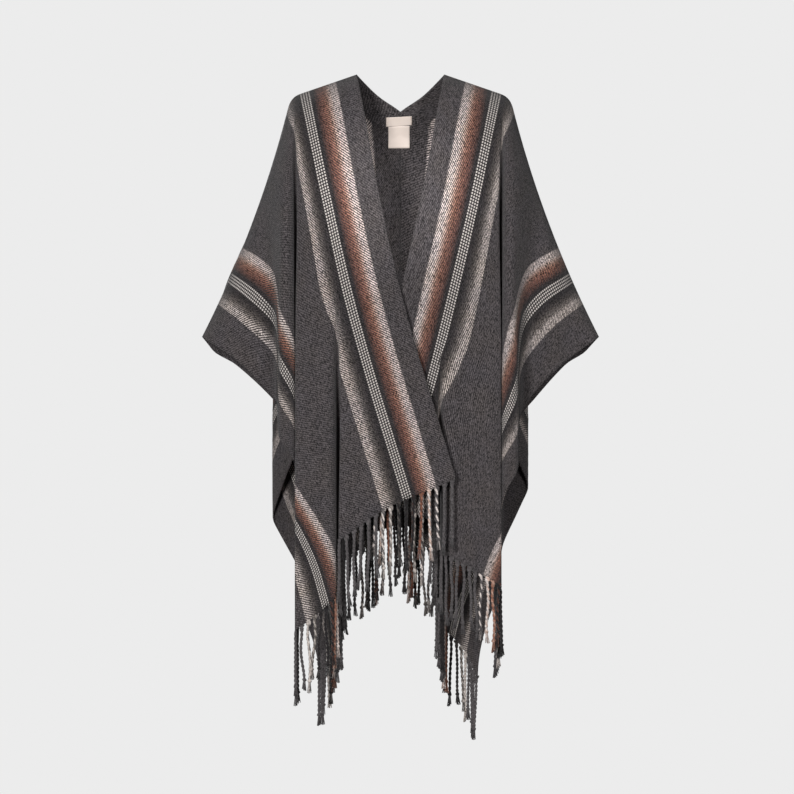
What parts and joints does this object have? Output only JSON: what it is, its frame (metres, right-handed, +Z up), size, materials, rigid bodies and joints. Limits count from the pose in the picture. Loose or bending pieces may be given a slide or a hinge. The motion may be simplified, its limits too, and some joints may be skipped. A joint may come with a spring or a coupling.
{
  "type": "andean poncho",
  "caption": "Open-front woven ruana poncho, worn form with no wearer: crossed front panels, back, knotted fringe hems and bare neck labels.",
  "frame": {"origin": "midway between the two neck points, at the top of the shoulder line, where the wearer's shoulders hold the garment", "axes": "+Z up, -Y the way the wearer faces, +X the wearer's left"},
  "size_m": [0.798, 0.2858, 1.3373],
  "materials": {
    "striped_cloth": "matte brushed wool blend",
    "warp_fringe": "matte twisted yarn",
    "label_ribbon": "satin ribbon"
  },
  "bodies": {
    "root": {"front_right": "striped_cloth", "front_left": "striped_cloth", "back": "striped_cloth", "fringe_front_right": "warp_fringe", "fringe_front_left": "warp_fringe", "fringe_back": "warp_fringe", "neck_label": "label_ribbon", "care_label": "label_ribbon"}
  },
  "joints": []
}
